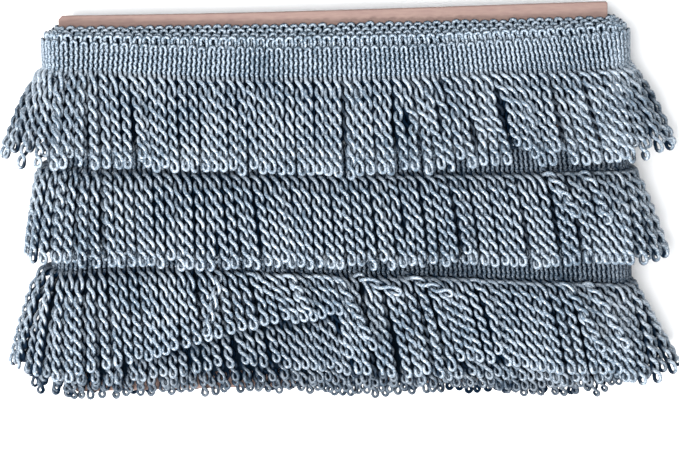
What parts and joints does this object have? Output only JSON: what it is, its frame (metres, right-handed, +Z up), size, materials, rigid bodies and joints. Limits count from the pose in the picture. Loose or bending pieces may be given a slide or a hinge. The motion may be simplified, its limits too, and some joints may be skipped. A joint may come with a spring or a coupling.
{
  "type": "bullion fringe trim wound on a card",
  "caption": "Twisted cord bullion fringe trim with a looped cord heading, wound round a flat card in overlapping tiers that fan out at both ends.",
  "frame": {"origin": "under the middle of the whole, on the surface that it lies on", "axes": "+X across the card, +Y towards the card's bare head edge, +Z up out of the wound face"},
  "size_m": [0.372, 0.2178, 0.0532],
  "materials": {
    "card": "matt pinkish tan board",
    "heading": "satin dusty blue-grey rayon cord, looped and bound",
    "fringe": "satin dusty blue-grey rayon cord, two plies loosely twisted"
  },
  "bodies": {
    "root": {"card": "card", "heading_top": "heading", "heading_middle": "heading", "heading_bottom": "heading", "fringe_top": "fringe", "fringe_middle": "fringe", "fringe_bottom": "fringe"}
  },
  "joints": []
}
